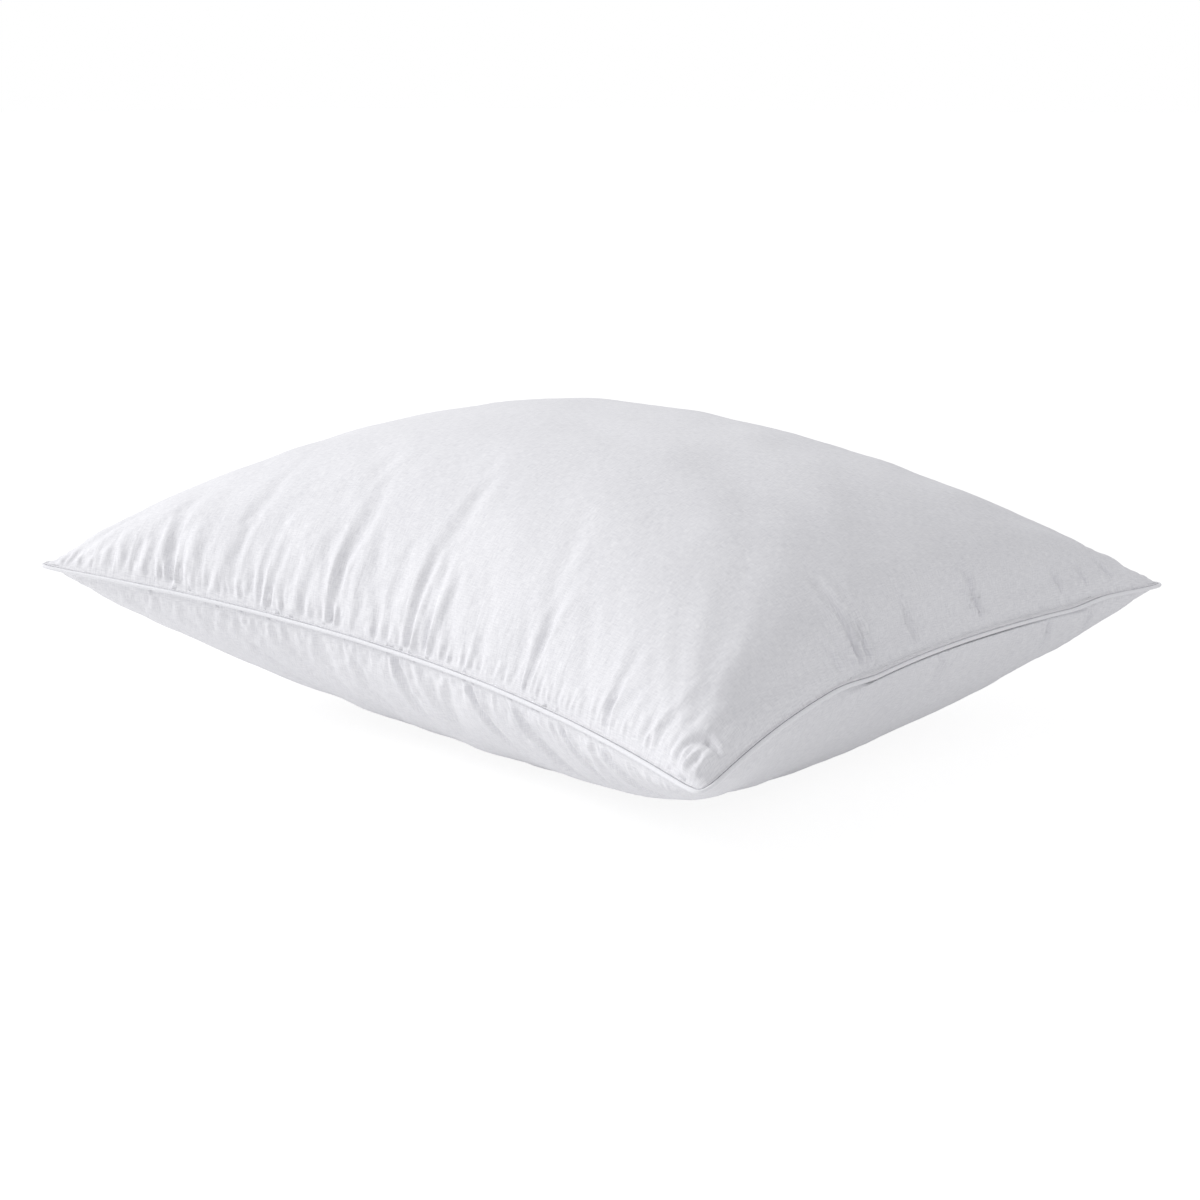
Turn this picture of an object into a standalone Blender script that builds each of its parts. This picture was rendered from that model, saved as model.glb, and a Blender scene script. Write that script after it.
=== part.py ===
"""Bed pillow: a piped cotton casing, cut 60 x 50 cm, filled with feathers and closed by a seam in one short side.

Metres, +Z up. The pillow lies on z = 0, centred on the Z axis, with its long sides along X and the closing
seam in the side at +X. A place on the casing is (u, v), each from -1 to 1, from seam to seam along X and Y.
"""

import math
from collections import namedtuple

import bmesh
import bpy
from mathutils import Vector

# Outline of the seam: the filling draws the middle of each side in, and the corners are turned round
HALF_LENGTH = 0.280
HALF_WIDTH = 0.253
SHORT_SIDE_PULL = 0.024
LONG_SIDE_PULL = 0.060
CORNER_CUT = 0.005
CORNER_POWER = 30

# Height of the seam at the corners and at the middle of the sides, and how far two corners droop
CORNER_HEIGHT = 0.101
LONG_SIDE_HEIGHT = 0.088
SHORT_SIDE_HEIGHT = 0.097
FRONT_RIGHT_DROOP = 0.031
BACK_RIGHT_DROOP = 0.017

# The two filled faces: how far the top rises from the seam and the underside falls, and how full their edges are
TOP_RISE = 0.1002
TOP_SIDE_POWER = 2.40
TOP_FULLNESS = 0.492
UNDERSIDE_FALL = 0.1097
UNDERSIDE_SIDE_POWER = 2.05
UNDERSIDE_FULLNESS = 0.520
UNDERSIDE_RIGHT_FALL = 0.026
FLOOR_BLEND = 0.004

# Cloth, cord and thread
CLOTH = 0.0005
STRIP_CLOTH = 0.00035
GAP = 0.0003
ALLOWANCE = 0.010
CORD_RADIUS = 0.0008
THREAD_RADIUS = 0.0002
SEAM_STITCH_INSET = 0.0025

# The closing seam pinches both panels into a lip; everywhere else the folded edge is only as deep as the fold
FOLD_DEPTH = 0.0004
LIP_DEPTH = 0.0030
CLOSING_START = -0.36
CLOSING_END = 0.66
CLOSING_EASE = 0.20
CLOSING_STITCH_INSET = 0.0014

# The filling keeps clear of the cloth, and of the seam allowances inside the edge
FILL_REACH = 0.935
FILL_CLEARANCE = 0.0025

# Fineness of the meshes
CELLS_X = 22
CELLS_Y = 18
BEAD_SEGMENTS = 6

FLANGE_FACE = GAP / 2 + STRIP_CLOTH
EDGE_INNER = FLANGE_FACE + GAP
EDGE_OUTER = EDGE_INNER + 2 * CLOTH
BEAD_INNER = CORD_RADIUS + GAP
BEAD_OUTER = BEAD_INNER + STRIP_CLOTH

Station = namedtuple("Station", "point out inwards lip")


def spread(t):
    """Crowd evenly spaced places from -1 to 1 towards both ends, where the casing turns fastest."""
    return math.sin(math.pi / 2 * t)


def smooth_step(t):
    """Rise smoothly from 0 to 1 as t does, and stay level outside that."""
    t = min(max(t, 0.0), 1.0)
    return t * t * (3 - 2 * t)


def outline(u, v):
    """Return x and y of the place (u, v) on the casing."""
    cut = CORNER_CUT * abs(u * v) ** CORNER_POWER
    x = u * (HALF_LENGTH - SHORT_SIDE_PULL * (1 - v * v)) - math.copysign(cut, u)
    y = v * (HALF_WIDTH - LONG_SIDE_PULL * (1 - u * u)) - math.copysign(cut, v)
    return x, y


def seam_height(u, v):
    """Return the height of the sheet that the seam spans between the two faces."""
    front_droop = FRONT_RIGHT_DROOP * ((1 + u) / 2) ** 2 * ((1 - v) / 2) ** 4
    droop = front_droop + BACK_RIGHT_DROOP * ((1 + u) * (1 + v) / 4) ** 2
    long_side = (LONG_SIDE_HEIGHT - CORNER_HEIGHT) * (1 - u * u) * v * v
    short_side = (SHORT_SIDE_HEIGHT - CORNER_HEIGHT) * (1 - v * v) * u * u
    return CORNER_HEIGHT - droop + long_side + short_side


def swell(u, v, side_power, fullness):
    """Return how far the filling pushes a face out: 1 at the middle and 0 along the seam."""
    return ((1 - abs(u) ** side_power) * (1 - abs(v) ** side_power)) ** fullness


def rest_on_floor(z):
    """Flatten what would sink below z = 0, with a smooth turn into the flat."""
    if z <= -FLOOR_BLEND:
        return 0.0
    if z >= FLOOR_BLEND:
        return z
    return (z + FLOOR_BLEND) ** 2 / (4 * FLOOR_BLEND)


def face_point(u, v, side):
    """Return a point of the casing's outer face; side is 1 for the top and -1 for the underside."""
    x, y = outline(u, v)
    z = seam_height(u, v) + side * EDGE_OUTER
    if side > 0:
        return Vector((x, y, z + TOP_RISE * swell(u, v, TOP_SIDE_POWER, TOP_FULLNESS)))
    fuller = UNDERSIDE_RIGHT_FALL * max(u, 0.0) ** 2 * (1 - u**4) * (1 - v * v)
    fall = UNDERSIDE_FALL * swell(u, v, UNDERSIDE_SIDE_POWER, UNDERSIDE_FULLNESS) + fuller
    return Vector((x, y, rest_on_floor(z - fall)))


def grid_border():
    """List the border places of the face grid, once round from the front left corner."""
    front = [(-1 + 2 * i / CELLS_X, -1.0) for i in range(CELLS_X)]
    right = [(1.0, -1 + 2 * j / CELLS_Y) for j in range(CELLS_Y)]
    return front + right + [(-s, -t) for s, t in front + right]


def lip_depth(u, v):
    """Return how far the folded edges stand out at a place on the seam."""
    if u < 1.0:
        return FOLD_DEPTH
    rise = smooth_step((v - CLOSING_START) / CLOSING_EASE + 0.5)
    fall = smooth_step((CLOSING_END - v) / CLOSING_EASE + 0.5)
    return FOLD_DEPTH + (LIP_DEPTH - FOLD_DEPTH) * rise * fall


def seam_stations():
    """List each station of the seam: its point, the ways out and in from there, and the depth of the lip."""
    places = [(spread(s), spread(t)) for s, t in grid_border()]
    points = [Vector((*outline(u, v), seam_height(u, v))) for u, v in places]
    stations = []
    for k, (u, v) in enumerate(places):
        before = points[k] - points[k - 1]
        after = points[(k + 1) % len(points)] - points[k]
        out_before = Vector((before.y, -before.x, 0.0)).normalized()
        out_after = Vector((after.y, -after.x, 0.0)).normalized()
        out = (out_before + out_after) / (1 + out_before.dot(out_after))
        stations.append(Station(points[k], out, Vector((-u, -v, 0.0)), lip_depth(u, v)))
    return stations


def seam_ring(stations, height, reach=0.0, lips=0):
    """Return one loop beside the seam: height above it, and out from it by reach and so many lips' depths."""
    ring = []
    for station in stations:
        distance = reach + lips * station.lip
        sideways = station.out * distance if distance > 0 else station.inwards * -distance
        ring.append(station.point + sideways + Vector((0, 0, height)))
    return ring


def add_rings(bm, loop, rings):
    """Join a closed loop of vertices to the rings of points in turn, and return the last loop."""
    for points in rings:
        ring = [bm.verts.new(point) for point in points]
        join_loops(bm, loop, ring)
        loop = ring
    return loop


def join_loops(bm, first, second):
    """Bridge two loops of the same length, vertex to vertex."""
    for k in range(len(first)):
        bm.faces.new((first[k - 1], first[k], second[k], second[k - 1]))


def add_face_grid(bm, side, reach=1.0):
    """Add one face of the pillow as a grid and return its vertices and its border loop."""
    verts = bmesh.ops.create_grid(bm, x_segments=CELLS_X, y_segments=CELLS_Y, size=1.0)["verts"]
    at = {(round(v.co.x, 4), round(v.co.y, 4)): v for v in verts}
    loop = [at[round(s, 4), round(t, 4)] for s, t in grid_border()]
    for vert in verts:
        vert.co = face_point(reach * spread(vert.co.x), reach * spread(vert.co.y), side)
    if side < 0:
        bmesh.ops.reverse_faces(bm, faces=list({face for vert in verts for face in vert.link_faces}))
    return verts, loop


def push_in(verts, distance):
    """Move a face's vertices inwards, square to the face."""
    for vert in verts:
        vert.normal_update()
    moves = [vert.normal * distance for vert in verts]
    for vert, move in zip(verts, moves):
        vert.co -= move


def material(name, colour, roughness):
    """Make a plain material with no metal in it."""
    made = bpy.data.materials.new(name)
    made.use_nodes = True
    shader = made.node_tree.nodes["Principled BSDF"]
    shader.inputs["Base Color"].default_value = (*colour, 1.0)
    shader.inputs["Roughness"].default_value = roughness
    shader.inputs["Metallic"].default_value = 0.0
    return made


def add_object(name, data, finish):
    """Put a mesh or a curve in the scene with its material."""
    made = bpy.data.objects.new(name, data)
    data.materials.append(finish)
    bpy.context.scene.collection.objects.link(made)
    return made


def add_mesh(name, bm, finish):
    """Turn a finished bmesh into an object, faces pointing out and shaded smooth but for its folds."""
    bmesh.ops.recalc_face_normals(bm, faces=bm.faces)
    mesh = bpy.data.meshes.new(name)
    bm.to_mesh(mesh)
    bm.free()
    mesh.shade_smooth()
    mesh.set_sharp_from_angle(angle=math.radians(40))
    return add_object(name, mesh, finish)


def add_tube(name, points, radius, resolution, finish, cyclic=False):
    """Run a round tube through the points, capped where it ends."""
    curve = bpy.data.curves.new(name, "CURVE")
    curve.dimensions = "3D"
    curve.bevel_depth = radius
    curve.bevel_resolution = resolution
    curve.use_fill_caps = True
    spline = curve.splines.new("POLY")
    spline.points.add(len(points) - 1)
    for spline_point, point in zip(spline.points, points):
        spline_point.co = (*point, 1.0)
    spline.use_cyclic_u = cyclic
    return add_object(name, curve, finish)


def make_panel(name, side, stations, finish):
    """Make a casing panel: the filled face, its folded edge, and the seam allowance turned inwards."""
    bm = bmesh.new()
    inner, inner_loop = add_face_grid(bm, side)
    push_in(inner, CLOTH)
    outer, outer_loop = add_face_grid(bm, side)
    edge = [
        seam_ring(stations, side * EDGE_OUTER, lips=1),
        seam_ring(stations, side * EDGE_INNER, lips=1),
        seam_ring(stations, side * EDGE_INNER, -ALLOWANCE),
        seam_ring(stations, side * (EDGE_INNER + CLOTH), -ALLOWANCE),
        seam_ring(stations, side * (EDGE_INNER + CLOTH), -2 * CLOTH),
    ]
    last = add_rings(bm, outer_loop, edge)
    join_loops(bm, last, inner_loop)
    return add_mesh(name, bm, finish)


def make_piping_cover(stations, finish):
    """Make the strip that is folded round the cord, with both layers of its flange in the seam."""
    centre = GAP + BEAD_OUTER

    def arc(radius, half_gap):
        open_angle = math.asin(half_gap / radius)
        sweep = 2 * (math.pi - open_angle)
        angles = [math.pi - open_angle - sweep * k / BEAD_SEGMENTS for k in range(BEAD_SEGMENTS + 1)]
        return [(radius * math.sin(a), centre + radius * math.cos(a), 1) for a in angles]

    section = [(FLANGE_FACE, -ALLOWANCE)]
    section += arc(BEAD_OUTER, FLANGE_FACE)
    section += [(-FLANGE_FACE, -ALLOWANCE), (-GAP / 2, -ALLOWANCE)]
    section += reversed(arc(BEAD_INNER, GAP / 2))
    section += [(GAP / 2, -ALLOWANCE)]
    rings = [seam_ring(stations, *place) for place in section]
    bm = bmesh.new()
    first = [bm.verts.new(point) for point in rings[0]]
    last = add_rings(bm, first, rings[1:])
    join_loops(bm, last, first)
    return add_mesh("piping_cover", bm, finish)


def make_threads(stations, finish):
    """Make both threads of the long seam and of the closing seam, as plain lines along their stitches."""
    lipped = [k for k, station in enumerate(stations) if station.lip > 2 * FOLD_DEPTH]
    opening = stations[lipped[0]:lipped[-1] + 1]
    rest = stations[lipped[-1]:] + stations[:lipped[0] + 1]
    seam_line = EDGE_INNER + CLOTH + GAP + THREAD_RADIUS
    closing_line = EDGE_OUTER + GAP + THREAD_RADIUS
    rows = [
        ("seam_needle_thread", rest, seam_line, -SEAM_STITCH_INSET, 0),
        ("seam_bobbin_thread", rest, -seam_line, -SEAM_STITCH_INSET, 0),
        ("closing_needle_thread", opening, closing_line, -CLOSING_STITCH_INSET, 1),
        ("closing_bobbin_thread", opening, -closing_line, -CLOSING_STITCH_INSET, 1),
    ]
    for name, stretch, height, reach, lips in rows:
        add_tube(name, seam_ring(stretch, height, reach, lips), THREAD_RADIUS, 0, finish)


def make_fill(finish):
    """Make the feather filling as one closed cushion inside the casing."""
    bm = bmesh.new()
    loops = []
    for side in (1, -1):
        verts, loop = add_face_grid(bm, side, FILL_REACH)
        push_in(verts, CLOTH + FILL_CLEARANCE)
        loops.append(loop)
    join_loops(bm, *loops)
    return add_mesh("feather_fill", bm, finish)


def make_pillow():
    """Build every piece of the pillow."""
    for old in list(bpy.data.objects):
        bpy.data.objects.remove(old)
    cotton = material("casing_cotton", (0.86, 0.86, 0.88), 0.85)
    piping = material("piping_cotton", (0.89, 0.89, 0.91), 0.8)
    cord = material("cord_cotton", (0.84, 0.83, 0.80), 0.9)
    thread = material("sewing_thread", (0.90, 0.90, 0.90), 0.5)
    feathers = material("feathers", (0.82, 0.80, 0.76), 0.95)
    stations = seam_stations()
    make_panel("top_panel", 1, stations, cotton)
    make_panel("bottom_panel", -1, stations, cotton.copy())
    make_piping_cover(stations, piping)
    bead_line = seam_ring(stations, 0.0, GAP + BEAD_OUTER, lips=1)
    add_tube("piping_cord", bead_line, CORD_RADIUS, 1, cord, cyclic=True)
    make_threads(stations, thread)
    make_fill(feathers)


make_pillow()
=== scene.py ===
"""Bed pillow: the cloth, piping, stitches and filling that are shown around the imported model.

Metres, +Z up. A place on the casing is (u, v), each from -1 to 1 from seam to seam along X and Y. A place on
a cut panel is (s, t), each from -1 to 1 across the flat cloth.
"""

import math
from collections import namedtuple

import bmesh
import bpy
import numpy as np
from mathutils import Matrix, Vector


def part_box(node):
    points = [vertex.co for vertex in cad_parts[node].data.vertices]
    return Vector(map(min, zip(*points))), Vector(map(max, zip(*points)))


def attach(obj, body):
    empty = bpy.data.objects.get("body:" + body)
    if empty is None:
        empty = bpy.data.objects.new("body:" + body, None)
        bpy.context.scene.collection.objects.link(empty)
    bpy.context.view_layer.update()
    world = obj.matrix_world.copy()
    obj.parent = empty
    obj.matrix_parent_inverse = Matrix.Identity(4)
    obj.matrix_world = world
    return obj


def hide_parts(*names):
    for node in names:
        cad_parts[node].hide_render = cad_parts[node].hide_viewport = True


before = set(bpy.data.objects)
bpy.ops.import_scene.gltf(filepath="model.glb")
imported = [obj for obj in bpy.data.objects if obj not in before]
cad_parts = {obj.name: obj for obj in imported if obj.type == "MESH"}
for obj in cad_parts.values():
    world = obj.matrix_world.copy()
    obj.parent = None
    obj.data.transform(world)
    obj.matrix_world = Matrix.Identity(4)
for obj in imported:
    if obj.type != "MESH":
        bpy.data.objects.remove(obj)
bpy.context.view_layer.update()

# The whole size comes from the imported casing, whose corners are cut and whose sides are pulled in
CASING_LOW, CASING_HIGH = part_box("top_panel")
LENGTH_TO_CORNERS = 1.0115
WIDTH_TO_CORNERS = 1.0181
HALF_LENGTH = LENGTH_TO_CORNERS * (CASING_HIGH.x - CASING_LOW.x) / 2
HALF_WIDTH = WIDTH_TO_CORNERS * (CASING_HIGH.y - CASING_LOW.y) / 2
SHORT_SIDE_PULL = 0.024
LONG_SIDE_PULL = 0.060
CORNER_CUT = 0.005
CORNER_POWER = 30
CORNER_HEIGHT = 0.101
LONG_SIDE_HEIGHT = 0.088
SHORT_SIDE_HEIGHT = 0.097
FRONT_RIGHT_DROOP = 0.031
BACK_RIGHT_DROOP = 0.017
TOP_RISE = 0.1022
TOP_LEAN = 0.05
TOP_SIDE_POWER = 2.40
TOP_FULLNESS = 0.492
UNDERSIDE_FALL = 0.1097
UNDERSIDE_SIDE_POWER = 2.05
UNDERSIDE_FULLNESS = 0.520
UNDERSIDE_RIGHT_FALL = 0.026
FLOOR_BLEND = 0.004

# Cloth, cord and thread
CLOTH = 0.0005
STRIP_CLOTH = 0.00035
GAP = 0.0003
ALLOWANCE = 0.010
CORD_RADIUS = 0.0008
CORD_LENGTH = 2.2
CORD_TWIST = 0.009
THREAD_RADIUS = 0.0002
SEAM_STITCH_INSET = 0.0025
STITCH_LENGTH = 0.003
FOLD_DEPTH = 0.0004
LIP_DEPTH = 0.0030
LIP_DROOP = math.radians(48)
CLOSING_START = -0.36
CLOSING_END = 0.66
CLOSING_EASE = 0.20
CLOSING_STITCH_INSET = 0.0014
FLANGE_FACE = GAP / 2 + STRIP_CLOTH
EDGE_INNER = FLANGE_FACE + GAP
EDGE_OUTER = EDGE_INNER + 2 * CLOTH
CORD_SLACK = 0.0001
BEAD_INNER = CORD_RADIUS + CORD_SLACK
BEAD_OUTER = BEAD_INNER + STRIP_CLOTH
SNUG = 0.00005
STITCH_SWAY = 0.00012

# Beside the closing lip, the top's foot leans back and the underside rolls out under the lip
TOP_DRAWN_BACK = (-0.0060, 0.0, 0.0)
LEAN_REACH = 0.012
LEAN_FADE = 0.048
LEAN_ENDS = 0.3
ROLL_START = 0.0058
ROLL_REACH = 0.034
MOUTH_GAP = 0.0005
MOUTH_START = -0.33
MOUTH_END = 0.24
MOUTH_OPENS = 0.05
MOUTH_CLOSES = 0.28
HOLLOW_DEPTH = 0.0023

# The flat cut of a panel inside its seams, and the meshes that it is sewn and shown with
HALF_CUT = np.array((0.303, 0.250))
SEWING_STEP = 0.005
SHOWN_STEP = 0.004
FINE_BANDS = (0.065, 0.016)
LINING_STEP = 0.004
ON_BORDER = 0.9999
BESIDE_RIGHT = 0.8
SURFACE_SOFTNESS = 0.25

# Sewing the cloth into the casing and filling it
SEWN_BY_FRAME = 12
FILLED_BY_FRAME = 24
SLACK_NOISE = 0.0003
FARTHEST_MOVE = 0.022
CORNER_TAPER = 0.028
BROAD_SPAN = 6
BROAD_KEPT = {1: 0.3, -1: 0.1}
FOLDS_KEPT = {1: 0.44, -1: 0.36}
FLOOR_GRIP = 0.8
SMOOTHER, SMOOTH_PLACE, SMOOTH_SPAN = 0.6, 0.4, 0.3
FIRM_SIDE_REACH = 0.06
FIRM_CORNER_REACH = 0.15
CLOTH_SETTINGS = {
    "vertex_group_mass": "held",
    "pin_stiffness": 1.0,
    "quality": 8,
    "mass": 0.001,
    "tension_stiffness": 200,
    "compression_stiffness": 200,
    "shear_stiffness": 20,
    "bending_stiffness": 0.02,
    "tension_damping": 1.0,
    "compression_damping": 1.0,
    "shear_damping": 1.0,
    "bending_damping": 0.1,
    "air_damping": 1.0,
    "use_pressure": True,
    "uniform_pressure_force": 150,
}

# The filling
FILL_REACH = 0.93
FILL_DEPTH = 0.014
FILL_LUMP = 0.003

# The weave, its slubs and the rumples of washed cloth
WEAVE_PITCH = 0.00042
WEAVE_DEPTH = 0.00006
RUMPLE_DEPTH = 0.0006
SLUB_STRENGTH = 2.8
SLUB_LENGTHWISE = 170.0
SLUB_CROSSWISE = 2000.0

# The puff at the front right corner
PUFF_FROM_EDGES = 0.004
PUFF_HEIGHT = 0.0034
PUFF_FOLD_DEPTH = 0.0038
PUFF_CREASES = 0.0003

Fold = namedtuple("Fold", "edge along reach lean width height")


def smooth_step(t):
    """Rise smoothly from 0 to 1 as t does, and stay level outside that."""
    t = np.clip(t, 0.0, 1.0)
    return t * t * (3 - 2 * t)


def bell(value, middle, width):
    """Return 1 at the middle, falling smoothly to nothing a few widths away."""
    return np.exp(-(((value - middle) / width) ** 2))


# ---- the shape that the casing is drawn into


def outline(u, v):
    """Return x and y of places on the casing."""
    cut = CORNER_CUT * np.abs(u * v) ** CORNER_POWER
    x = u * (HALF_LENGTH - SHORT_SIDE_PULL * (1 - v * v)) - np.sign(u) * cut
    y = v * (HALF_WIDTH - LONG_SIDE_PULL * (1 - u * u)) - np.sign(v) * cut
    return x, y


def seam_height(u, v):
    """Return the height of the sheet that the seam spans between the two faces."""
    front_droop = FRONT_RIGHT_DROOP * ((1 + u) / 2) ** 2 * ((1 - v) / 2) ** 4
    droop = front_droop + BACK_RIGHT_DROOP * ((1 + u) * (1 + v) / 4) ** 2
    long_side = (LONG_SIDE_HEIGHT - CORNER_HEIGHT) * (1 - u * u) * v * v
    short_side = (SHORT_SIDE_HEIGHT - CORNER_HEIGHT) * (1 - v * v) * u * u
    return CORNER_HEIGHT - droop + long_side + short_side


def swell(u, v, side_power, fullness):
    """Return how far the filling pushes a face out: 1 at the middle and 0 along the seam."""
    along = np.clip(1 - np.abs(u) ** side_power, 0, 1)
    across = np.clip(1 - np.abs(v) ** side_power, 0, 1)
    return (along * across) ** fullness


def face(u, v, side):
    """Return points of the casing's drawn face; side is 1 for the top and -1 for the underside."""
    x, y = outline(u, v)
    z = seam_height(u, v) + side * EDGE_OUTER
    if side > 0:
        rise = TOP_RISE * (1 - TOP_LEAN * u) * swell(u, v, TOP_SIDE_POWER, TOP_FULLNESS)
        return np.stack((x, y, z + rise), -1)
    fuller = UNDERSIDE_RIGHT_FALL * np.maximum(u, 0) ** 2 * (1 - u**4) * (1 - v * v)
    z = z - UNDERSIDE_FALL * swell(u, v, UNDERSIDE_SIDE_POWER, UNDERSIDE_FULLNESS) - fuller
    blended = (z + FLOOR_BLEND) ** 2 / (4 * FLOOR_BLEND)
    z = np.where(z <= -FLOOR_BLEND, 0.0, np.where(z >= FLOOR_BLEND, z, blended))
    return np.stack((x, y, z), -1)


def spread_evenly(s, side, axis):
    """Return the places on the middle line of a face that share its cloth out evenly."""
    crowded = 1 - (1 - np.linspace(0, 1, 2001)) ** 3
    line = face(*((crowded, 0 * crowded) if axis == 0 else (0 * crowded, crowded)), side)
    along = np.concatenate(([0.0], np.cumsum(np.linalg.norm(np.diff(line, axis=0), axis=1))))
    return np.sign(s) * np.interp(np.abs(s), along / along[-1], crowded)


def drawn_places(s, t, side):
    """Return where each place of a cut panel comes on the casing."""
    u = (1 - np.abs(t) ** 3) * spread_evenly(s, side, 0) + np.abs(t) ** 3 * s
    v = (1 - np.abs(s) ** 3) * spread_evenly(t, side, 1) + np.abs(s) ** 3 * t
    return u, v


def drawn_face(s, t, side):
    """Return the points of the drawn face at places of the cut panel."""
    return face(*drawn_places(s, t, side), side)


# ---- the seam all round, and the rings that lie beside it


def on_border(s, t):
    """Tell which places lie on a panel's border."""
    return (np.abs(s) > ON_BORDER) | (np.abs(t) > ON_BORDER)


def lip_depth(u, v):
    """Return how far the folded edges stand out at places on the seam."""
    rise = smooth_step((v - CLOSING_START) / CLOSING_EASE + 0.5)
    fall = smooth_step((CLOSING_END - v) / CLOSING_EASE + 0.5)
    return FOLD_DEPTH + (LIP_DEPTH - FOLD_DEPTH) * rise * fall * (u > ON_BORDER)


def seam_tangent(u, v):
    """Return the level direction of the seam, anticlockwise, at border places."""
    step = 0.004
    turn = np.arctan2(v, u)
    ends = []
    for shift in (-step, step):
        c, n = np.cos(turn + shift), np.sin(turn + shift)
        size = np.maximum(np.abs(c), np.abs(n))
        ends.append(np.stack(outline(c / size, n / size), -1))
    tangent = ends[1] - ends[0]
    return tangent / np.linalg.norm(tangent, axis=-1, keepdims=True)


def beside_seam(u, v, height, reach=0.0, lips=0):
    """Return points beside the seam: height above it, and out from it by reach and so many lips' depths."""
    x, y = outline(u, v)
    point = np.stack((x, y, seam_height(u, v)), -1)
    tangent = seam_tangent(u, v)
    lip = lip_depth(u, v)
    droop = LIP_DROOP * (lip - FOLD_DEPTH) / (LIP_DEPTH - FOLD_DEPTH)
    across_x, across_y = tangent[..., 1], -tangent[..., 0]
    outward = np.stack((across_x * np.cos(droop), across_y * np.cos(droop), -np.sin(droop)), -1)
    upward = np.stack((across_x * np.sin(droop), across_y * np.sin(droop), np.cos(droop)), -1)
    inward = np.stack((-u, -v, 0 * u), -1)
    level = np.array((0.0, 0.0, 1.0))
    distance = np.asarray(reach + lips * lip)[..., None]
    height = np.asarray(height)[..., None]
    out_there = point + outward * distance + upward * height
    in_there = point - inward * distance + level * height
    return np.where(distance > 0, out_there, in_there)


def seam_places(spacing):
    """List border places all round, evenly along the cut edges, anticlockwise from the front left corner."""
    columns = round(2 * HALF_CUT[0] / spacing)
    rows = round(2 * HALF_CUT[1] / spacing)
    long_run = np.linspace(-1, 1, columns + 1)[:-1]
    short_run = np.linspace(-1, 1, rows + 1)[:-1]
    u = np.concatenate((long_run, np.ones(rows), -long_run, -np.ones(rows)))
    v = np.concatenate((-np.ones(columns), short_run, np.ones(columns), -short_run))
    return u, v


# ---- sampling smooth fields


def sample(field, s, t, softness=0.0):
    """Read a regular grid of values over (-1..1, -1..1) smoothly at (s, t)."""
    columns, rows = field.shape[0] - 1, field.shape[1] - 1
    padded = np.pad(field, [(1, 2), (1, 2)] + [(0, 0)] * (field.ndim - 2), mode="edge")
    padded[0], padded[-2] = 2 * padded[1] - padded[2], 2 * padded[-3] - padded[-4]
    padded[:, 0], padded[:, -2] = 2 * padded[:, 1] - padded[:, 2], 2 * padded[:, -3] - padded[:, -4]
    weights = []
    cells = []
    for place, count in ((s, columns), (t, rows)):
        at = np.clip((place + 1) / 2 * count, 0, count)
        cell = np.minimum(at.astype(int), count - 1)
        f = at - cell
        sharp = (-f + 2 * f**2 - f**3, 2 - 5 * f**2 + 3 * f**3, f + 4 * f**2 - 3 * f**3, -(f**2) + f**3)
        soft = ((1 - f) ** 3, 4 - 6 * f**2 + 3 * f**3, 1 + 3 * f + 3 * f**2 - 3 * f**3, f**3)
        weights.append([(1 - softness) * a / 2 + softness * b / 6 for a, b in zip(sharp, soft)])
        cells.append(cell)
    total = 0.0
    for i in range(4):
        for j in range(4):
            weight = weights[0][i] * weights[1][j]
            value = padded[cells[0] + i, cells[1] + j]
            total = total + (weight[..., None] * value if value.ndim > weight.ndim else weight * value)
    return total


# ---- making objects


def add_object(name, mesh, finish):
    """Put a finished mesh in the scene with its material."""
    made = bpy.data.objects.new(name, mesh)
    mesh.materials.append(finish)
    bpy.context.scene.collection.objects.link(made)
    return made


def vertex_places(mesh):
    """Return a mesh's vertices as an array."""
    places = np.empty(len(mesh.vertices) * 3, np.float32)
    mesh.vertices.foreach_get("co", places)
    return places.reshape(-1, 3).astype(float)


def move_vertices(mesh, places):
    """Put a mesh's vertices at the places."""
    mesh.vertices.foreach_set("co", np.asarray(places, np.float32).ravel())
    mesh.update()


def mesh_from(name, bm):
    """Turn a bmesh into a mesh."""
    mesh = bpy.data.meshes.new(name)
    bm.to_mesh(mesh)
    bm.free()
    return mesh


def face_outwards(mesh, nearness=1e-6):
    """Merge doubles, cap open ends, and turn every face outwards."""
    bm = bmesh.new()
    bm.from_mesh(mesh)
    bmesh.ops.remove_doubles(bm, verts=bm.verts, dist=nearness)
    bmesh.ops.holes_fill(bm, edges=[edge for edge in bm.edges if edge.is_boundary])
    bmesh.ops.recalc_face_normals(bm, faces=bm.faces)
    bm.to_mesh(mesh)
    bm.free()
    mesh.shade_smooth()


def set_cloth_map(mesh, across_cloth):
    """Give a mesh a UV map in metres of its own cloth."""
    layer = mesh.uv_layers.new(name="cloth")
    corner = np.empty(len(mesh.loops), np.int32)
    mesh.loops.foreach_get("vertex_index", corner)
    layer.data.foreach_set("uv", np.asarray(across_cloth, np.float32)[corner].ravel())


# ---- sewing and filling the two panels


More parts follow.
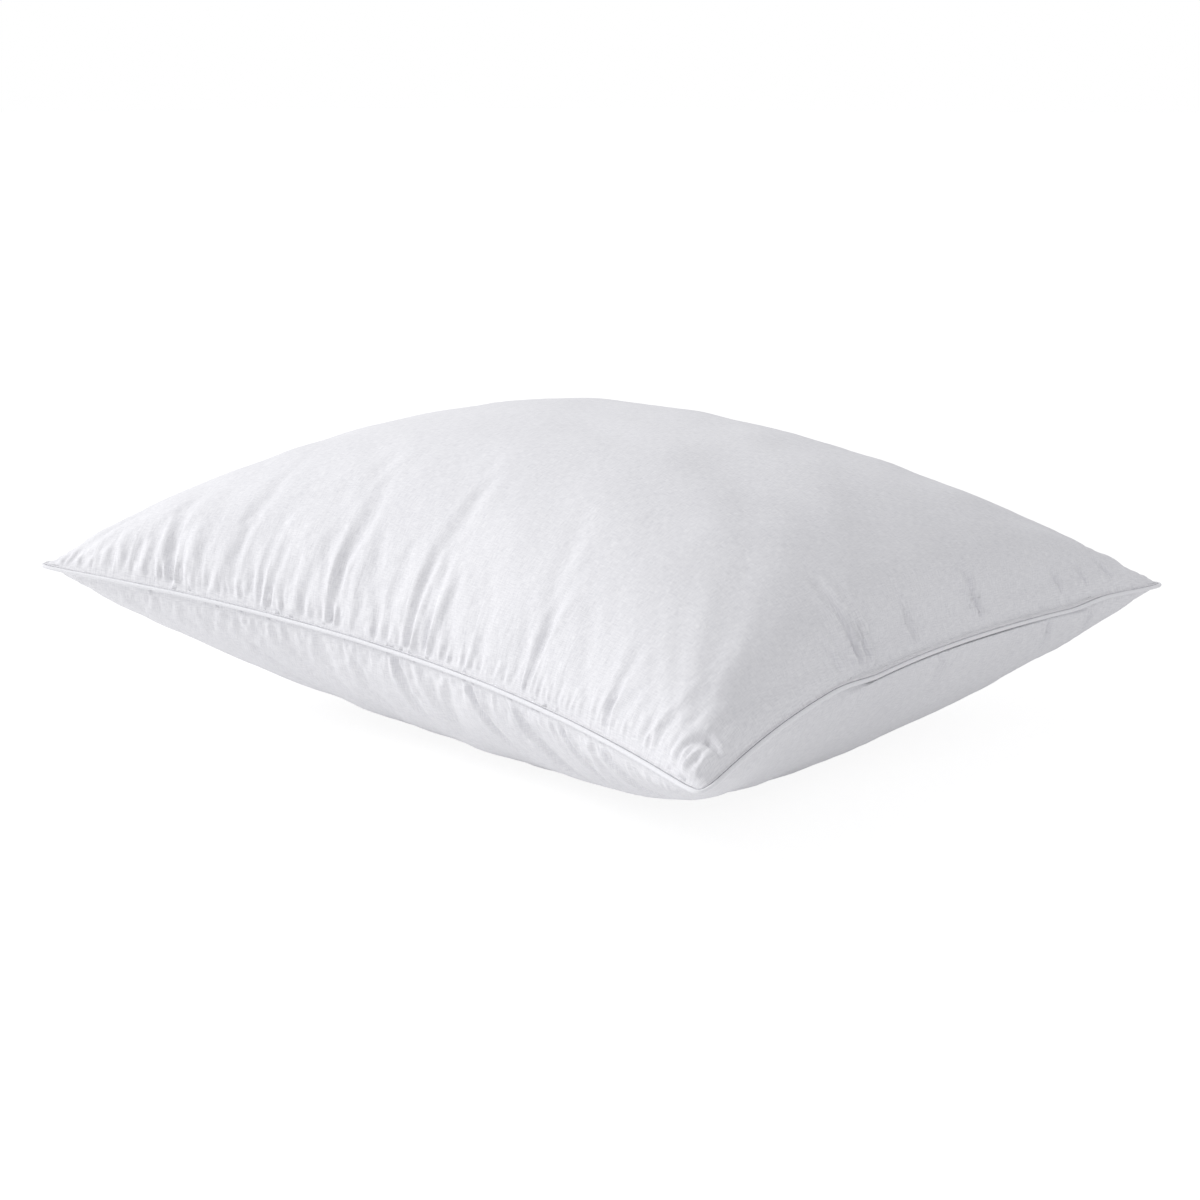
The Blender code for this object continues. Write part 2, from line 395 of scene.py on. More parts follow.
def sewing_sheet(side):
    """Make one flat panel whose edges are drawn to the seam while it is filled."""
    columns, rows = (round(2 * half / SEWING_STEP) for half in HALF_CUT)
    bm = bmesh.new()
    bmesh.ops.create_grid(bm, x_segments=columns, y_segments=rows, size=1.0)
    mesh = mesh_from("sewing_sheet", bm)
    if side < 0:
        mesh.flip_normals()
    s, t, _ = vertex_places(mesh).T
    drawn = drawn_face(s, t, side)
    border = on_border(s, t)
    noise = np.random.default_rng(5 + side).normal(0, SLACK_NOISE, drawn.shape)
    noise[border] = 0
    flat = np.stack((s * HALF_CUT[0], t * HALF_CUT[1], 0 * s + 0.095 + side * 0.002), -1) + noise
    move_vertices(mesh, flat)
    sheet = bpy.data.objects.new("sewing_sheet", mesh)
    bpy.context.scene.collection.objects.link(sheet)
    sheet.shape_key_add(name="Basis")
    key = sheet.shape_key_add(name="sewn")
    key.data.foreach_set("co", drawn.astype(np.float32).ravel())
    for value, when in ((0.0, 1), (1.0, SEWN_BY_FRAME)):
        key.value = value
        key.keyframe_insert("value", frame=when)
    for curve in mesh.shape_keys.animation_data.action.fcurves:
        for point in curve.keyframe_points:
            point.interpolation = "LINEAR"
    held = sheet.vertex_groups.new(name="held")
    held.add(np.flatnonzero(border).tolist(), 1.0, "REPLACE")
    if side < 0:
        resting = ~border & (drawn[:, 2] < 0.001)
        held.add(np.flatnonzero(resting).tolist(), FLOOR_GRIP, "REPLACE")
    modifier = sheet.modifiers.new("Cloth", "CLOTH")
    for setting, value in CLOTH_SETTINGS.items():
        setattr(modifier.settings, setting, value)
    modifier.settings.effector_weights.gravity = 0
    modifier.collision_settings.use_collision = False
    modifier.point_cache.frame_start = 1
    modifier.point_cache.frame_end = FILLED_BY_FRAME + 1
    shape = (columns + 1, rows + 1)
    cell = np.rint((s + 1) / 2 * columns).astype(int), np.rint((t + 1) / 2 * rows).astype(int)
    return sheet, shape, cell, drawn


def taper_corners(height, s, t):
    """Draw the faces together at the corners' tips; the front right one is fuller."""
    corner = np.hypot((1 - np.abs(s)) * HALF_CUT[0], (1 - np.abs(t)) * HALF_CUT[1])
    fuller = (s > 0) & (t < 0)
    taper = np.where(fuller, 0.15, 0.55) * np.exp(-((corner / CORNER_TAPER) ** 2))
    return height + taper * (seam_height(s, t) - height)


def broad_part(field):
    """Return the broad part of a grid of moves, without its folds; it stays nothing along the edges."""
    reach = 3 * BROAD_SPAN
    weights = np.exp(-0.5 * (np.arange(-reach, reach + 1) / BROAD_SPAN) ** 2)
    weights /= weights.sum()
    for axis in (0, 1):
        widths = [(reach, reach) if a == axis else (0, 0) for a in range(3)]
        padded = np.pad(field, widths, mode="reflect", reflect_type="odd")
        field = np.apply_along_axis(np.convolve, axis, padded, weights, "valid")
    return field


def looseness(s, t):
    """Return the share of its moves that the cloth keeps: less at the right side and its front corner."""
    inside = HALF_CUT[0] * (1 - s)
    ridge = np.hypot(inside, HALF_CUT[1] * (1 + t)) / FIRM_CORNER_REACH
    right_side = 0.3 + 0.7 * smooth_step(inside / FIRM_SIDE_REACH)
    return right_side * (1 - 0.6 * np.exp(-(ridge**2)))


def fill_casing():
    """Sew and fill both panels by cloth simulation, and return each one's surface as a grid of points."""
    sheets = {side: sewing_sheet(side) for side in (1, -1)}
    scene = bpy.context.scene
    scene.frame_start, scene.frame_end = 1, FILLED_BY_FRAME + 1
    for when in range(1, FILLED_BY_FRAME + 1):
        scene.frame_set(when)
    surfaces = {}
    for side, (sheet, shape, cell, drawn) in sheets.items():
        filled = drawn
        evaluated = sheet.evaluated_get(bpy.context.evaluated_depsgraph_get())
        filled = vertex_places(evaluated.data)
        move = filled - drawn
        length = np.linalg.norm(move, axis=1, keepdims=True)
        moves, surface = np.empty((*shape, 3)), np.empty((*shape, 3))
        moves[cell] = move * np.minimum(1, FARTHEST_MOVE / np.maximum(length, 1e-9))
        surface[cell] = drawn
        broad = broad_part(moves)
        s, t = np.meshgrid(*(np.linspace(-1, 1, size) for size in shape), indexing="ij")
        folds_kept = FOLDS_KEPT[side] * (1 - SMOOTHER * bell(t, SMOOTH_PLACE, SMOOTH_SPAN))
        kept_moves = BROAD_KEPT[side] * broad + folds_kept[..., None] * (moves - broad)
        surface += looseness(s, t)[..., None] * kept_moves
        surface[..., 2] = np.maximum(taper_corners(surface[..., 2], s, t), 0.0)
        surfaces[side] = surface
    for sheet, *_ in sheets.values():
        mesh = sheet.data
        bpy.data.objects.remove(sheet)
        bpy.data.meshes.remove(mesh)
    for action in list(bpy.data.actions):
        bpy.data.actions.remove(action)
    scene.frame_set(1)
    return surfaces


# ---- gathers and folds that are finer than the sewing mesh


def from_edges(s, t):
    """Return, for each edge of a panel, the place along it and the distance from it in metres."""
    x, y = s * HALF_CUT[0], t * HALF_CUT[1]
    return {
        "front": (x, y + HALF_CUT[1]),
        "right": (y, HALF_CUT[0] - x),
        "back": (-x, HALF_CUT[1] - y),
        "left": (-y, x + HALF_CUT[0]),
    }


# How strongly each edge is gathered, and the pitch, reach and depth of the two sizes of pucker
GATHERS = {"front": 0.62, "right": 0.2, "back": 0.62, "left": 0.3}
GATHER_SIZES = ((0.0042, 0.011, 0.00034), (0.0085, 0.024, 0.00045))

# How many small pleats each edge of the top and of the underside has, and how strong they are
LONG_EDGE_PLEATS = {1: (170, 0.58), -1: (70, 0.5)}
SHORT_EDGE_PLEATS = {1: (40, 0.35), -1: (30, 0.35)}

# Gathers, pleats and folds fade in over this much of the cloth beside the seam
FADE_IN = 0.005
RIGHT_FADE_IN = 0.010
PATTERN_HALF = 0.31


def gathers(s, t, side):
    """Return how far the cloth puckers out along the seam, as rounded pleats between sharp valleys."""
    rng = np.random.default_rng(11 + side)
    total = 0.0
    for edge, (along, inside) in from_edges(s, t).items():
        for pitch, reach, depth in GATHER_SIZES:
            field = rng.normal(0, 1, (round(2 * PATTERN_HALF / pitch), 7))
            slanted = np.clip((along + 0.25 * inside) / PATTERN_HALF, -1, 1)
            pleats = sample(field, slanted, np.clip(inside / (3 * reach), 0, 1) * 2 - 1)
            uneven_along = sample(rng.normal(0, 1, (18, 2)), along / PATTERN_HALF, 0 * along)
            strength = 0.35 + 0.65 * np.abs(uneven_along)
            envelope = smooth_step(inside / FADE_IN) * np.exp(-((np.maximum(inside, 0) / reach) ** 1.3))
            total = total + GATHERS[edge] * depth * strength * envelope * (np.abs(pleats) * 1.6 - 0.9)
    return total


TOP_FOLDS = (
    Fold("front", 0.012, 0.150, 0.05, 0.0040, -0.0024),
    Fold("front", 0.030, 0.090, 0.12, 0.0036, 0.0020),
    Fold("front", 0.126, 0.110, 0.02, 0.0040, -0.0023),
    Fold("front", -0.060, 0.110, 0.10, 0.0042, -0.0021),
    Fold("front", -0.118, 0.080, 0.16, 0.0040, 0.0020),
    Fold("front", -0.196, 0.085, -0.10, 0.0046, -0.0026),
    Fold("front", 0.205, 0.070, -0.08, 0.0038, -0.0020),
    Fold("right", -0.078, 0.085, -0.02, 0.0036, -0.0067),
    Fold("right", -0.067, 0.065, 0.10, 0.0034, 0.0048),
    Fold("right", -0.094, 0.055, -0.15, 0.0032, 0.0028),
    Fold("right", -0.020, 0.062, -0.06, 0.0030, -0.0042),
    Fold("right", 0.052, 0.066, -0.16, 0.0030, -0.0056),
    Fold("right", 0.140, 0.040, -0.20, 0.0030, -0.0031),
    Fold("right", 0.168, 0.038, -0.30, 0.0028, -0.0028),
    Fold("right", 0.196, 0.040, -0.35, 0.0028, -0.0028),
)
UNDER_FOLDS = (
    Fold("right", 0.004, 0.060, 0.10, 0.0044, -0.0042),
    Fold("right", -0.082, 0.050, -0.02, 0.0036, -0.0032),
    Fold("right", 0.118, 0.050, 0.20, 0.0038, -0.0042),
    Fold("right", 0.165, 0.040, 0.25, 0.0034, -0.0032),
    Fold("front", 0.070, 0.100, 0.45, 0.0045, -0.0027),
    Fold("front", 0.110, 0.110, 0.50, 0.0050, 0.0031),
    Fold("front", 0.160, 0.100, 0.50, 0.0042, -0.0027),
    Fold("front", 0.200, 0.090, 0.55, 0.0042, 0.0024),
    Fold("front", 0.000, 0.080, 0.30, 0.0045, -0.0020),
)


def small_pleats(side):
    """List small pleats of every length along the four edges, evenly shared out but never alike."""
    rng = np.random.default_rng(47 + side)
    pleats = []
    for edge in ("front", "right", "back", "left"):
        is_long = edge in ("front", "back")
        count, strength = (LONG_EDGE_PLEATS if is_long else SHORT_EDGE_PLEATS)[side]
        half = HALF_CUT[0] if is_long else HALF_CUT[1]
        places = (np.arange(count) + rng.uniform(-0.45, 0.45, count) + 0.5) / count * 2 - 1
        lengths = np.clip(rng.lognormal(math.log(0.030), 0.55, count), 0.012, 0.110)
        leans = rng.normal(0, 0.14, count)
        widths = 0.0016 + 0.05 * lengths * rng.uniform(0.5, 1.2, count)
        heights = strength * widths * rng.uniform(0.22, 0.52, count)
        for row in zip(places * half, lengths, leans, widths, heights):
            pleats.append(Fold(edge, *row))
    return pleats


def folds(s, t, side):
    """Return how far pleats and folds raise the cloth; each runs in from an edge, widens and fades out."""
    total = 0.0 * s
    edges = from_edges(s, t)
    for fold in [*(TOP_FOLDS if side > 0 else UNDER_FOLDS), *small_pleats(side)]:
        along, inside = edges[fold.edge]
        off = along - fold.along - fold.lean * inside
        near = np.flatnonzero((inside < fold.reach) & (np.abs(off) < 8 * fold.width))
        off, inside = off[near], inside[near]
        width = fold.width * (0.55 + 0.9 * inside / fold.reach)
        run = smooth_step(inside / FADE_IN) * (1 - smooth_step(inside / fold.reach))
        ridge = bell(off, 0, width) - 0.55 * bell(np.abs(off), 1.7 * width, 0.8 * width)
        total[near] += fold.height * run * ridge
    return total


def corner_puff(s, t, side):
    """Return the rounded puff of cloth at the top's front right corner, with a curved fold behind it."""
    x, y = (1 - s) * HALF_CUT[0], (1 + t) * HALF_CUT[1]
    far = np.hypot(x - PUFF_FROM_EDGES, y - PUFF_FROM_EDGES)
    turn = np.arctan2(y, x)
    behind = 0.023 + 0.002 * np.sin(3 * turn)
    valley = bell(far, behind, 0.0030) * bell(turn, 1.05, 0.75)
    creases = np.cos(turn * 26 + 2 * np.sin(turn * 9)) * bell(far, 0.010, 0.006)
    puff = bell(far, 0.011, 0.0065)
    return (side > 0) * (PUFF_HEIGHT * puff - PUFF_FOLD_DEPTH * valley + PUFF_CREASES * creases)


def crumple(s, t, side):
    """Return the small dents and creases that the cloth has everywhere, more towards the corners."""
    rng = np.random.default_rng(23 + side)
    wide = sample(rng.normal(0, 1, (24, 20)), s, t)
    fine = sample(rng.normal(0, 1, (70, 58)), s, t)
    corner = np.abs(s * t) ** 8
    return 0.0005 * wide + (0.00010 + 0.0006 * corner) * (np.abs(fine) - 0.6) + corner_puff(s, t, side)


def make_room_for_lip(points, s, t, side):
    """Return points of the right side moved: the top's foot leans back, and the underside rolls out.

    The top leans back along the whole side. The underside moves at the closing lip only: its cloth runs out
    along the lip, a hollow's depth below it, and then turns down.
    """
    inside = HALF_CUT[0] * (1 - s)
    if side > 0:
        lean = np.clip(inside / LEAN_REACH, 0, 1) * (1 - smooth_step((inside - LEAN_REACH) / LEAN_FADE))
        lean = lean * smooth_step((1 - np.abs(t)) / LEAN_ENDS)
        return points + lean[:, None] * np.array(TOP_DRAWN_BACK)
    edge = np.ones_like(s)
    opening = ((lip_depth(edge, t) - FOLD_DEPTH) / (LIP_DEPTH - FOLD_DEPTH))[:, None]
    fade = (1 - smooth_step((inside - ROLL_START) / ROLL_REACH))[:, None]
    run = np.minimum(inside, ROLL_START)
    mouth = smooth_step((t - MOUTH_START) / MOUTH_OPENS) * (1 - smooth_step((t - MOUTH_END) / MOUTH_CLOSES))
    hollow = MOUTH_GAP + HOLLOW_DEPTH * mouth * np.sin(np.pi * run / ROLL_START)
    bed = beside_seam(edge, t, -EDGE_OUTER - hollow * smooth_step(inside / 0.001), np.maximum(run, 1e-6))
    turn = sample_at_roll(points, s, t, inside)
    return points + opening * np.where(inside[:, None] < ROLL_START, bed - points, turn * fade)


def sample_at_roll(points, s, t, inside):
    """Return, for each place, how far the underside's cloth moves where its roll turns down."""
    row = (inside > 0.9 * ROLL_START) & (inside < 1.15 * ROLL_START)
    order = np.argsort(t[row])
    found = points[row][order]
    at = np.stack([np.interp(t, t[row][order], found[:, axis]) for axis in range(3)], -1)
    bed = beside_seam(np.ones_like(s), t, -EDGE_OUTER - MOUTH_GAP + 0 * s, ROLL_START + 0 * s)
    return bed - at


# ---- the casing panels

# Each ring at a panel's folded edge: its height over the seam, how far out it lies, and how many lips out
PANEL_RINGS = (
    (EDGE_OUTER, 0.0, 1),
    (EDGE_OUTER - CLOTH, 0.0002, 1),
    (EDGE_INNER, 0.0, 1),
    (EDGE_INNER, -ALLOWANCE, 0),
    (EDGE_INNER + CLOTH, -ALLOWANCE, 0),
    (EDGE_INNER + CLOTH, -2 * CLOTH, 0),
)
LAYER_DROP = 1.0


def panel_pattern():
    """Lay out a panel flat: the face, the rings that fold over and under at its edge, and its inner face.

    Each layer lies a whole unit below the last, so that a vertex's height says which layer it is in.
    """
    bm = bmesh.new()
    columns, rows = (round(2 * half / SHOWN_STEP) for half in HALF_CUT)
    bmesh.ops.create_grid(bm, x_segments=columns, y_segments=rows, size=1.0)
    bmesh.ops.scale(bm, verts=bm.verts, vec=(*HALF_CUT, 1.0))
    for band in FINE_BANDS:
        near = {v for v in bm.verts if min(HALF_CUT[0] - abs(v.co.x), HALF_CUT[1] - abs(v.co.y)) < band}
        edges = [edge for edge in bm.edges if edge.verts[0] in near and edge.verts[1] in near]
        bmesh.ops.subdivide_edges(bm, edges=edges, cuts=1, use_grid_fill=True)
    rim = [edge for edge in bm.edges if edge.is_boundary]
    for _ in PANEL_RINGS:
        made = bmesh.ops.extrude_edge_only(bm, edges=rim)["geom"]
        ring = [item for item in made if isinstance(item, bmesh.types.BMVert)]
        rim = [item for item in made if isinstance(item, bmesh.types.BMEdge) and item.is_boundary]
        bmesh.ops.translate(bm, verts=ring, vec=(0, 0, -LAYER_DROP))
    columns, rows = (round(2 * half / LINING_STEP) for half in HALF_CUT)
    lining = bmesh.ops.create_grid(bm, x_segments=columns, y_segments=rows, size=1.0)["verts"]
    bmesh.ops.scale(bm, verts=lining, vec=(*HALF_CUT, 1.0))
    bmesh.ops.translate(bm, verts=lining, vec=(0, 0, -LAYER_DROP * (len(PANEL_RINGS) + 1)))
    inner_rim = [edge for edge in {e for v in lining for e in v.link_edges} if edge.is_boundary]
    bmesh.ops.bridge_loops(bm, edges=rim + inner_rim)
    return bm


def make_panel(name, side, surface, finish):
    """Make a casing panel as one closed shell of cloth: its face, its folded edge, and its allowance."""
    mesh = mesh_from(name, panel_pattern())
    flat = vertex_places(mesh)
    layer = np.rint(-flat[:, 2] / LAYER_DROP).astype(int)
    s, t = (flat[:, :2] / HALF_CUT).T
    points = sample(surface, s, t, SURFACE_SOFTNESS)
    border = on_border(s, t)
    rim = border & (layer == 0)
    points[rim] = face(s[rim], t[rim], side)
    out = np.zeros(len(s))
    for number, (height, reach, lips) in enumerate(PANEL_RINGS, 1):
        ring = layer == number
        points[ring] = beside_seam(s[ring], t[ring], side * height, reach, lips)
        out[ring] = reach + lips * lip_depth(s[ring], t[ring])
    lining = layer == len(PANEL_RINGS) + 1
    inner_rim = lining & border
    points[inner_rim] = beside_seam(s[inner_rim], t[inner_rim], side * (EDGE_OUTER - CLOTH))
    outward = square_to(surface, s, t, side)
    detail = gathers(s, t, side) + folds(s, t, side) + crumple(s, t, side)
    inside = np.min([distance for _, distance in from_edges(s, t).values()], axis=0)
    detail = detail * smooth_step(inside / FADE_IN) * smooth_step(HALF_CUT[0] * (1 - s) / RIGHT_FADE_IN)
    moved = ((layer == 0) | lining) & ~border
    points[moved] += outward[moved] * (detail[moved] - CLOTH * lining[moved])[:, None]
    beside = moved & (s > BESIDE_RIGHT)
    points[beside] = make_room_for_lip(points[beside], s[beside], t[beside], side)
    if side < 0:
        points[moved, 2] = np.maximum(points[moved, 2], CLOTH * lining[moved])
    move_vertices(mesh, points)
    direction = np.stack([np.sign(place) * (np.abs(place) > ON_BORDER) for place in (s, t)], -1)
    set_cloth_map(mesh, flat[:, :2] + direction * out[:, None])
    near_long_edge = bell(HALF_CUT[1] * (1 - np.abs(t)), 0, 0.055)
    gathered = (0.15 + 0.85 * near_long_edge * (0.5 if side < 0 else 1.0)) * (layer == 0)
    creased = mesh.attributes.new("gathered", "FLOAT", "POINT")
    creased.data.foreach_set("value", gathered.astype(np.float32))
    face_outwards(mesh)
    return add_object(name, mesh, finish)


def square_to(surface, s, t, side):
    """Return the directions square to a filled face, pointing out of the pillow."""
    step = 0.004
    right, left = (sample(surface, np.clip(s + shift, -1, 1), t, 1.0) for shift in (step, -step))
    behind, front = (sample(surface, s, np.clip(t + shift, -1, 1), 1.0) for shift in (step, -step))
    normal = side * np.cross(right - left, behind - front)
    return normal / np.maximum(np.linalg.norm(normal, axis=1, keepdims=True), 1e-12)


# ---- piping, cord and threads


def swept(name, rings, finish, closed):
    """Join rings of points, each closed on itself, into one tube, and cap it unless it closes on itself."""
    rings = np.asarray(rings)
    count, around = rings.shape[:2]
    steps = count if closed else count - 1
    bm = bmesh.new()
    bmesh.ops.create_grid(bm, x_segments=steps, y_segments=around, size=1.0)
    mesh = mesh_from(name, bm)
    places = vertex_places(mesh)
    along = np.rint((places[:, 0] + 1) / 2 * steps).astype(int)
    about = np.rint((places[:, 1] + 1) / 2 * around).astype(int)
    move_vertices(mesh, rings[along % count, about % around])
    middle = rings.mean(1)
    lengths = np.linalg.norm(np.diff(np.concatenate((middle, middle[:1])), axis=0), axis=1)
    travelled = np.concatenate(([0.0], np.cumsum(lengths)))
    girth = np.linalg.norm(np.diff(np.concatenate((rings[0], rings[0][:1])), axis=0), axis=1)
    turned = np.concatenate(([0.0], np.cumsum(girth)))
    set_cloth_map(mesh, np.stack((travelled[along], turned[about]), -1))
    face_outwards(mesh, 1e-7)
    return add_object(name, mesh, finish)


def uneven(count, waves, size, seed):
    """Return a closed run of slightly uneven values round 0."""
    rng = np.random.default_rng(seed)
    place = np.linspace(0, 2 * np.pi, count, endpoint=False)
    total = 0.0
    for wave in waves:
        total = total + np.sin(wave * place + rng.uniform(0, 2 * np.pi)) * rng.uniform(0.5, 1.0)
    return size * total / len(waves)


def piping_wander(count):
    """Return how far the piping strays up and down along the seam."""
    return uneven(count, (7, 19, 31, 53), 0.00018, 4)


def round_turn(count):
    """List angles evenly round a whole turn."""
    return [2 * np.pi * k / count for k in range(count)]


def make_piping_cover(finish):
    """Make the bias strip that is folded round the cord, with both layers of its flange in the seam."""
    u, v = seam_places(0.0024)
    count = len(u)
    plump = uneven(count, (11, 23, 37, 61, 97), 0.00012, 3)
    wander = piping_wander(count)
    centre = SNUG + BEAD_OUTER
    rings = []

    def layer(height, reaches):
        rings.extend(beside_seam(u, v, height + 0 * u, reach) for reach in reaches)

    def arc(radius, half_gap, steps, downwards):
        widest = math.pi - math.asin(half_gap / radius)
        for k in range(steps + 1):
            angle = downwards * widest * (1 - 2 * k / steps)
            r = radius + plump * (0.5 + 0.5 * math.cos(angle))
            rings.append(beside_seam(u, v, r * math.sin(angle) + wander, centre + r * math.cos(angle), 1))

    inwards = (0.0, -ALLOWANCE / 2, -ALLOWANCE)
    outwards = inwards[::-1]
    layer(FLANGE_FACE, outwards)
    arc(BEAD_OUTER, FLANGE_FACE, 16, 1)
    layer(-FLANGE_FACE, inwards)
    layer(-GAP / 2, outwards)
    arc(BEAD_INNER, GAP / 2, 8, -1)
    layer(GAP / 2, inwards)
    return swept("piping_cover_cloth", np.stack(rings, 1), finish, True)


def make_piping_cord(finish):
    """Make the three-strand twisted cord that runs all round inside the piping."""
    u, v = seam_places(0.0011)
    count = len(u)
    wander = piping_wander(count)
    turns = round(CORD_LENGTH / CORD_TWIST)
    twist = np.linspace(0, 2 * np.pi * turns, count, endpoint=False)
    rings = []
    for angle in round_turn(12):
        r = CORD_RADIUS * (0.86 + 0.13 * np.cos(3 * (angle - twist / 3)))
        rings.append(beside_seam(u, v, r * np.sin(angle) + wander, SNUG + BEAD_OUTER + r * np.cos(angle), 1))
    return swept("piping_cord_strands", np.stack(rings, 1), finish, True)


def make_stitches(name, places, side, height, reach, lips, finish):
    """Make one thread of a lockstitch row: it lies on the cloth and dips into each hole."""
    u, v = places
    line = beside_seam(u, v, 0 * u, reach, lips)
    length = np.concatenate(([0.0], np.cumsum(np.linalg.norm(np.diff(line, axis=0), axis=1))))
    stitches = max(1, round(length[-1] / STITCH_LENGTH))
    per_stitch = 8
    at = np.linspace(0, length[-1], stitches * per_stitch + 1)
    u, v = np.interp(at, length, u), np.interp(at, length, v)
    phase = np.arange(len(at)) % per_stitch / per_stitch
    dip = np.exp(-((np.minimum(phase, 1 - phase) / 0.10) ** 2))
    rise = side * (height - dip * (0.9 * CLOTH))
    reach = reach + STITCH_SWAY * np.cos(2 * np.pi * phase)
    rings = []
    for angle in round_turn(6):
        up, out = THREAD_RADIUS * np.sin(angle), THREAD_RADIUS * np.cos(angle)
        rings.append(beside_seam(u, v, rise + up, reach + out, lips))
    return swept(name, np.stack(rings, 1), finish, False)


def make_threads(finish):
    """Make both threads of the long seam and of the closing seam."""
    u, v = seam_places(0.002)
    opening = np.flatnonzero(lip_depth(u, v) > 2 * FOLD_DEPTH)
    rest = np.concatenate((np.arange(opening[-1], len(u)), np.arange(0, opening[0] + 1)))
    inside = EDGE_INNER + CLOTH + THREAD_RADIUS
    outside = EDGE_OUTER + THREAD_RADIUS
    rows = (
        ("seam_needle_stitches", rest, 1, inside, -SEAM_STITCH_INSET, 0),
        ("seam_bobbin_stitches", rest, -1, inside, -SEAM_STITCH_INSET, 0),
        ("closing_needle_stitches", opening, 1, outside, -CLOSING_STITCH_INSET, 1),
        ("closing_bobbin_stitches", opening, -1, outside, -CLOSING_STITCH_INSET, 1),
    )
    return [make_stitches(name, (u[run], v[run]), *rest_of, finish) for name, run, *rest_of in rows]


# ---- the filling


def make_fill(surfaces, finish):
    """Make the feather filling as one lumpy cushion inside the casing."""
    bm = bmesh.new()
    columns, rows = (round(2 * half / 0.007) for half in HALF_CUT)
    for side in (1, -1):
        made = bmesh.ops.create_grid(bm, x_segments=columns, y_segments=rows, size=1.0)["verts"]
        bmesh.ops.translate(bm, verts=made, vec=(0, 0, side))
    bmesh.ops.bridge_loops(bm, edges=[edge for edge in bm.edges if edge.is_boundary])
    mesh = mesh_from("feather_filling", bm)
    s, t, layer = vertex_places(mesh).T
    s, t = s * FILL_REACH, t * FILL_REACH
    points = np.empty((len(s), 3))
    for side in (1, -1):
        on = np.sign(layer) == side
        rng = np.random.default_rng(31 + side)
        lumps = np.abs(sample(rng.normal(0, 1, (46, 38)), s[on], t[on]))
        deep = FILL_DEPTH + FILL_LUMP * np.minimum(lumps, 1.5)
        base = sample(surfaces[side], s[on], t[on], 1.0)
        points[on] = base - square_to(surfaces[side], s[on], t[on], side) * deep[:, None]
    points[:, 2] = np.maximum(points[:, 2], 2 * CLOTH)
    move_vertices(mesh, points)
    set_cloth_map(mesh, np.stack((s * HALF_CUT[0], t * HALF_CUT[1]), -1))
    face_outwards(mesh)
    return add_object("feather_filling", mesh, finish)


# ---- finishes


def new_group(name, inputs, outputs):
    """Start a shader group with named sockets and return its tree, its input node and its output node."""
    group = bpy.data.node_groups.new(name, "ShaderNodeTree")
    for title, kind, value in inputs:
        socket = group.interface.new_socket(title, in_out="INPUT", socket_type="NodeSocket" + kind)
        if value is not None:
            socket.default_value = value
    for title in outputs:
        group.interface.new_socket(title, in_out="OUTPUT", socket_type="NodeSocketFloat")
    return group, group.nodes.new("NodeGroupInput"), group.nodes.new("NodeGroupOutput")


def set_inputs(tree, node, inputs):
    """Link each input that is given a socket, set each that is given a value, and return the node."""
    for title, value in inputs.items():
        if isinstance(value, bpy.types.NodeSocket):
            tree.links.new(value, node.inputs[title])
        else:
            node.inputs[title].default_value = value
    return node


def add_node(tree, kind, inputs):
    """Add a shader node and link or set its inputs."""
    return set_inputs(tree, tree.nodes.new("ShaderNode" + kind), inputs)


def add_group(tree, group, inputs):
    """Add a shader group and link or set its inputs."""
    node = tree.nodes.new("ShaderNodeGroup")
    node.node_tree = group
    return set_inputs(tree, node, inputs)


def math_node(tree, operation, *values):
    """Add a math node and return its output."""
    node = tree.nodes.new("ShaderNodeMath")
    node.operation = operation
    return set_inputs(tree, node, dict(enumerate(values))).outputs[0]


def folded(tree, noise):
    """Fold a noise's output over at its middle, so that it makes sharp creases."""
    return math_node(tree, "ABSOLUTE", math_node(tree, "SUBTRACT", noise.outputs["Fac"], 0.5))


def colour_mix(tree, factor, low, high):
    """Mix two colours by a factor and return the colour."""
    mix = tree.nodes.new("ShaderNodeMix")
    mix.data_type = "RGBA"
    set_inputs(tree, mix, {"A": (*low, 1.0), "B": (*high, 1.0), "Factor": factor})
    return mix.outputs["Result"]


def raised(tree, height, distance, strength=1.0, below=None):
    """Raise a surface by a bump, on top of the bump whose normal is given, and return the normal."""
    bump = add_node(tree, "Bump", {"Height": height, "Distance": distance, "Strength": strength})
    if below is not None:
        tree.links.new(below, bump.inputs["Normal"])
    return bump.outputs["Normal"]


def weave_group():
    """Plain weave at a pitch in metres, with slubs, as a height and a shade."""
    group, given, result = new_group(
        "plain_weave",
        (("Vector", "Vector", None), ("Pitch", "Float", WEAVE_PITCH), ("Slub", "Float", SLUB_STRENGTH)),
        ("Height", "Shade"),
    )
    vector = given.outputs["Vector"]
    split = add_node(group, "SeparateXYZ", {0: vector})
    waves = []
    for axis in "XY":
        turns = math_node(group, "DIVIDE", split.outputs[axis], given.outputs["Pitch"])
        waves.append(math_node(group, "SINE", math_node(group, "MULTIPLY", turns, math.pi)))
    crossing = math_node(group, "MULTIPLY", *waves)
    slubs = []
    for stretch in ((SLUB_LENGTHWISE, SLUB_CROSSWISE, 1.0), (SLUB_CROSSWISE, SLUB_LENGTHWISE, 1.0)):
        scale = add_node(group, "VectorMath", {0: vector, 1: stretch})
        scale.operation = "MULTIPLY"
        noise = add_node(group, "TexNoise", {"Vector": scale.outputs[0], "Scale": 1.0, "Detail": 2.0})
        slubs.append(math_node(group, "SUBTRACT", noise.outputs["Fac"], 0.5))
    slub = math_node(group, "MULTIPLY", math_node(group, "ADD", *slubs), given.outputs["Slub"])
    height = math_node(group, "ADD", math_node(group, "MULTIPLY", crossing, 0.35), slub)
    set_inputs(group, result, {"Height": height, "Shade": math_node(group, "ADD", slub, 0.5)})
    return group


